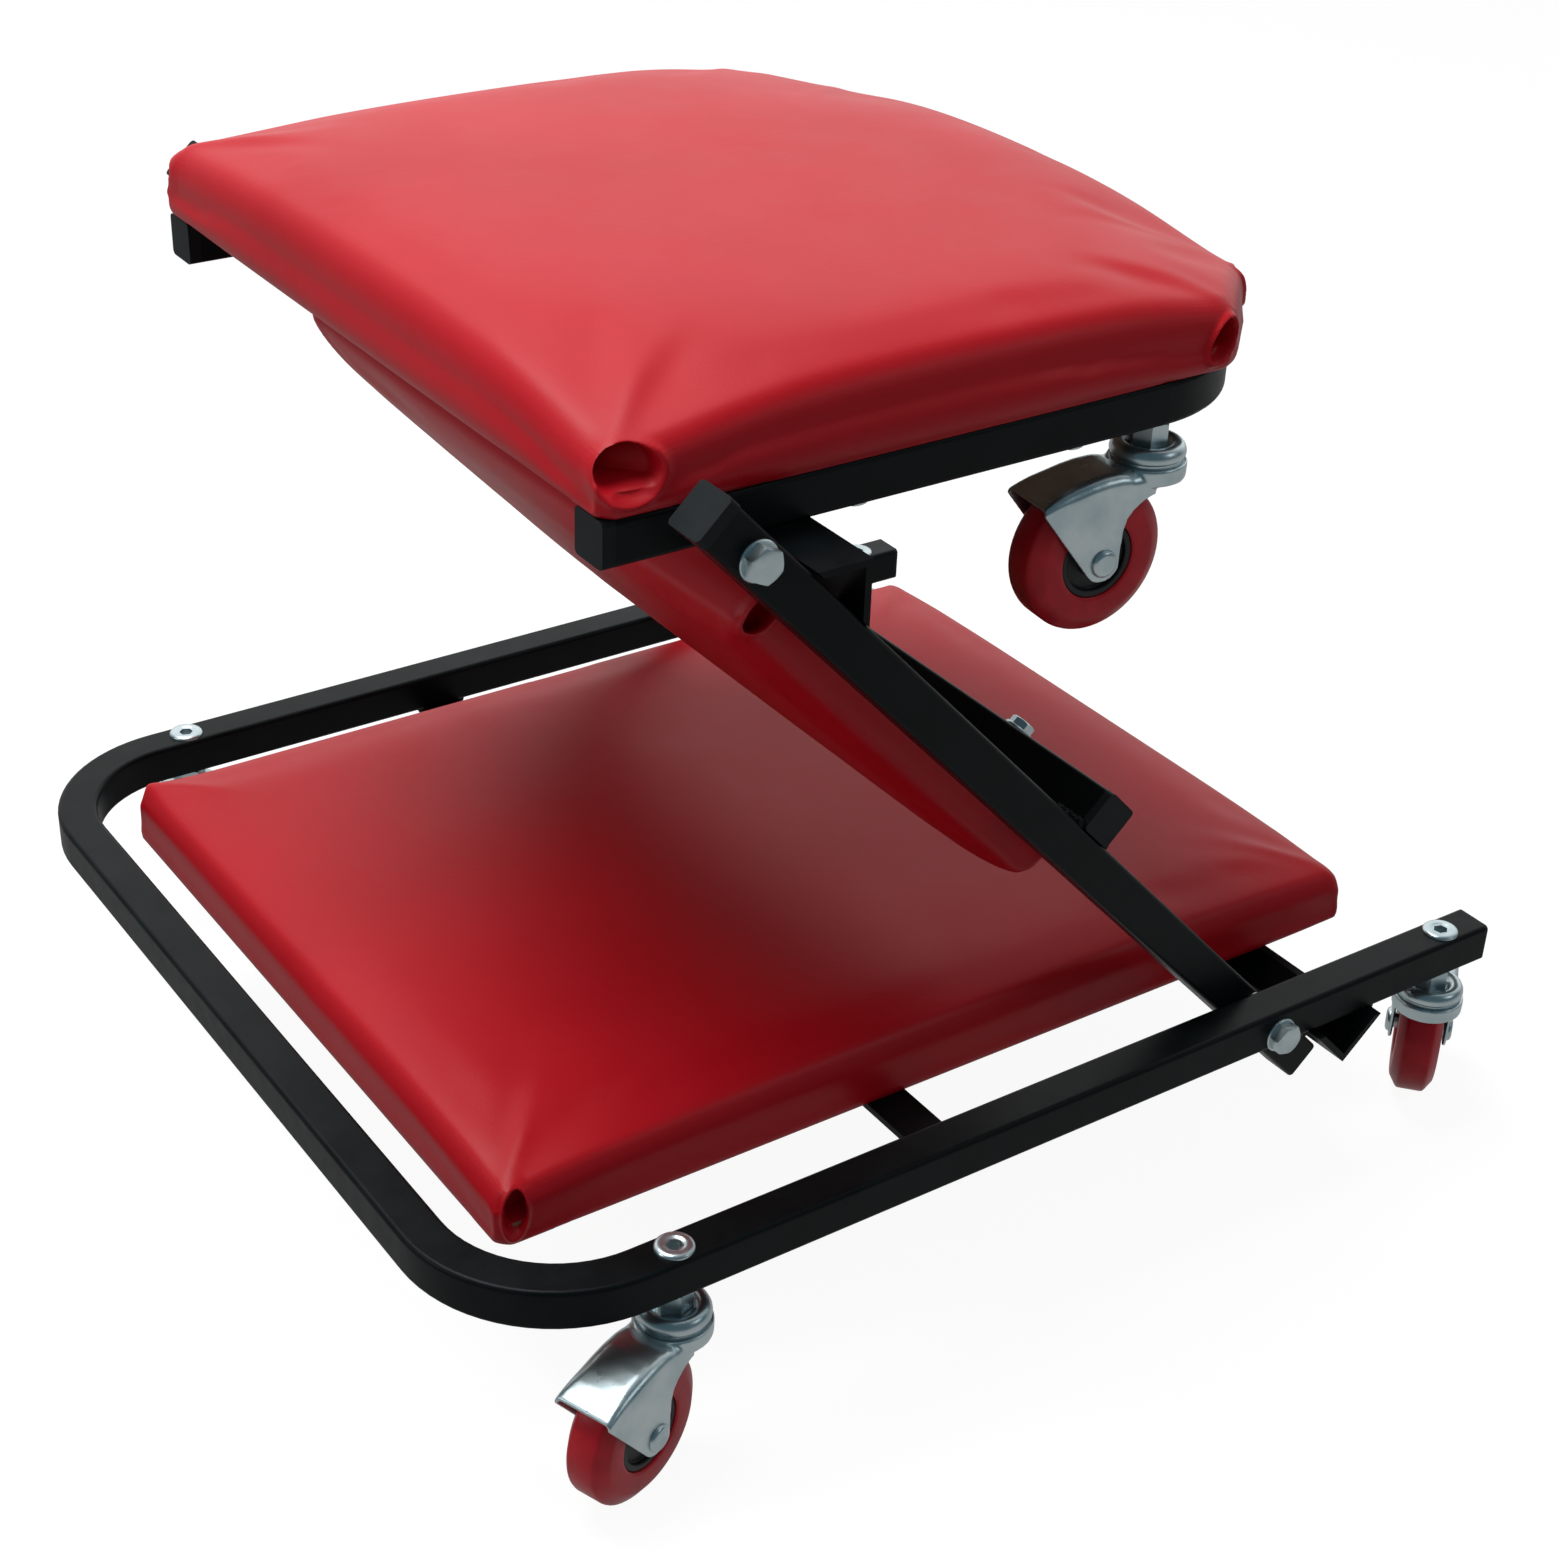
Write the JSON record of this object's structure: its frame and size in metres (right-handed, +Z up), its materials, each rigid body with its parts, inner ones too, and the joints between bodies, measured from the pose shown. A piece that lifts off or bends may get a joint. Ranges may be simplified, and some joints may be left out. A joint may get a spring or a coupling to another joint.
{
  "type": "creeper seat",
  "caption": "Folding mechanic's creeper shown as a low rolling seat: padded seat, slanted padded back link and padded base board on black square tube with swivel casters.",
  "frame": {"origin": "on the floor, at the middle of the footprint in the seat position", "axes": "+X from the closed end of the base frame towards its open end, +Y to the left, +Z up"},
  "size_m": [0.5666, 0.5368, 0.4423],
  "materials": {
    "black_steel": "satin black powder coat with a fine orange peel",
    "black_plug": "matte black moulded plug",
    "red_vinyl": "smooth red vinyl with a soft sheen",
    "plywood": "raw plywood",
    "zinc_plate": "bright zinc plate with a blue cast",
    "ball_steel": "polished steel",
    "red_tread": "smooth red polyurethane",
    "black_hub": "black nylon",
    "black_rubber": "black rubber"
  },
  "bodies": {
    "base": {"base_frame": "black_steel", "base_end_caps": "black_plug", "base_crossbar": "black_steel", "lower_stop_angle": "black_steel", "lower_pad_board": "plywood", "lower_cushion": "red_vinyl", "lower_pad_screws": "zinc_plate", "base_caster_nuts": "zinc_plate", "base_caster_stems": "zinc_plate", "base_caster_races": "zinc_plate", "base_caster_balls": "ball_steel", "lower_pivot_bolts": "zinc_plate", "lower_pivot_nuts": "zinc_plate", "lower_pivot_washers": "zinc_plate"},
    "middle": {"link_bar_right": "black_steel", "link_bar_left": "black_steel", "link_bar_caps": "black_plug", "link_cross_tube": "black_steel", "cross_tube_caps": "black_plug", "upper_stop_angle": "black_steel", "middle_pad_board": "plywood", "middle_cushion": "red_vinyl", "middle_pad_screws": "zinc_plate"},
    "top": {"upper_pivot_bolts": "zinc_plate", "upper_pivot_nuts": "zinc_plate", "upper_spacers": "zinc_plate", "seat_frame": "black_steel", "seat_frame_caps": "black_plug", "seat_board": "plywood", "seat_cushion": "red_vinyl", "seat_screws": "zinc_plate", "arm_buffer": "black_rubber", "seat_caster_nuts": "zinc_plate", "seat_caster_stems": "zinc_plate", "seat_caster_races": "zinc_plate", "seat_caster_balls": "ball_steel"},
    "swivel_closed_right": {"closed_right_fork": "zinc_plate", "closed_right_axle": "zinc_plate"},
    "wheel_closed_right": {"closed_right_tyre": "red_tread", "closed_right_hub": "black_hub"},
    "swivel_closed_left": {"closed_left_fork": "zinc_plate", "closed_left_axle": "zinc_plate"},
    "wheel_closed_left": {"closed_left_tyre": "red_tread", "closed_left_hub": "black_hub"},
    "swivel_open_right": {"open_right_fork": "zinc_plate", "open_right_axle": "zinc_plate"},
    "wheel_open_right": {"open_right_tyre": "red_tread", "open_right_hub": "black_hub"},
    "swivel_open_left": {"open_left_fork": "zinc_plate", "open_left_axle": "zinc_plate"},
    "wheel_open_left": {"open_left_tyre": "red_tread", "open_left_hub": "black_hub"},
    "swivel_seat_right": {"seat_right_fork": "zinc_plate", "seat_right_axle": "zinc_plate"},
    "wheel_seat_right": {"seat_right_tyre": "red_tread", "seat_right_hub": "black_hub"},
    "swivel_seat_left": {"seat_left_fork": "zinc_plate", "seat_left_axle": "zinc_plate"},
    "wheel_seat_left": {"seat_left_tyre": "red_tread", "seat_left_hub": "black_hub"}
  },
  "joints": [
    {"name": "lower_fold", "type": "hinge", "parent": "base", "child": "middle", "pos_m": [0.1215, 0, 0.0928], "axis": [0, 1, 0], "range_deg": [0, 132.8]},
    {"name": "upper_fold", "type": "hinge", "parent": "middle", "child": "top", "pos_m": [-0.15911, 0, 0.38953], "axis": [0, 1, 0], "range_deg": [-132.8, 0]},
    {"name": "swivel_closed_right", "type": "hinge", "parent": "base", "child": "swivel_closed_right", "pos_m": [-0.195, -0.2355, 0.075], "axis": [0, 0, 1], "continuous": true},
    {"name": "roll_closed_right", "type": "hinge", "parent": "swivel_closed_right", "child": "wheel_closed_right", "pos_m": [-0.22029, -0.24496, 0.0328], "axis": [0.3502, -0.9367, 0], "continuous": true},
    {"name": "swivel_closed_left", "type": "hinge", "parent": "base", "child": "swivel_closed_left", "pos_m": [-0.195, 0.2355, 0.075], "axis": [0, 0, 1], "continuous": true},
    {"name": "roll_closed_left", "type": "hinge", "parent": "swivel_closed_left", "child": "wheel_closed_left", "pos_m": [-0.16963, 0.22626, 0.0328], "axis": [0.342, 0.9397, 0], "continuous": true},
    {"name": "swivel_open_right", "type": "hinge", "parent": "base", "child": "swivel_open_right", "pos_m": [0.2312, -0.2355, 0.075], "axis": [0, 0, 1], "continuous": true},
    {"name": "roll_open_right", "type": "hinge", "parent": "swivel_open_right", "child": "wheel_open_right", "pos_m": [0.25145, -0.21765, 0.0328], "axis": [-0.6613, 0.7501, 0], "continuous": true},
    {"name": "swivel_open_left", "type": "hinge", "parent": "base", "child": "swivel_open_left", "pos_m": [0.2312, 0.2355, 0.075], "axis": [0, 0, 1], "continuous": true},
    {"name": "roll_open_left", "type": "hinge", "parent": "swivel_open_left", "child": "wheel_open_left", "pos_m": [0.20583, 0.24474, 0.0328], "axis": [-0.342, -0.9397, 0], "continuous": true},
    {"name": "swivel_seat_right", "type": "hinge", "parent": "top", "child": "swivel_seat_right", "pos_m": [0.06349, -0.1775, 0.36753], "axis": [0, 0, 1], "continuous": true},
    {"name": "roll_seat_right", "type": "hinge", "parent": "swivel_seat_right", "child": "wheel_seat_right", "pos_m": [0.0366, -0.17515, 0.32533], "axis": [-0.0872, -0.9962, 0], "continuous": true},
    {"name": "swivel_seat_left", "type": "hinge", "parent": "top", "child": "swivel_seat_left", "pos_m": [0.06349, 0.1775, 0.36753], "axis": [0, 0, 1], "continuous": true},
    {"name": "roll_seat_left", "type": "hinge", "parent": "swivel_seat_left", "child": "wheel_seat_left", "pos_m": [0.0366, 0.17515, 0.32533], "axis": [0.0872, -0.9962, 0], "continuous": true}
  ],
  "couplings": [
    {"joint": "upper_fold", "follows": "lower_fold", "ratio": -1}
  ]
}
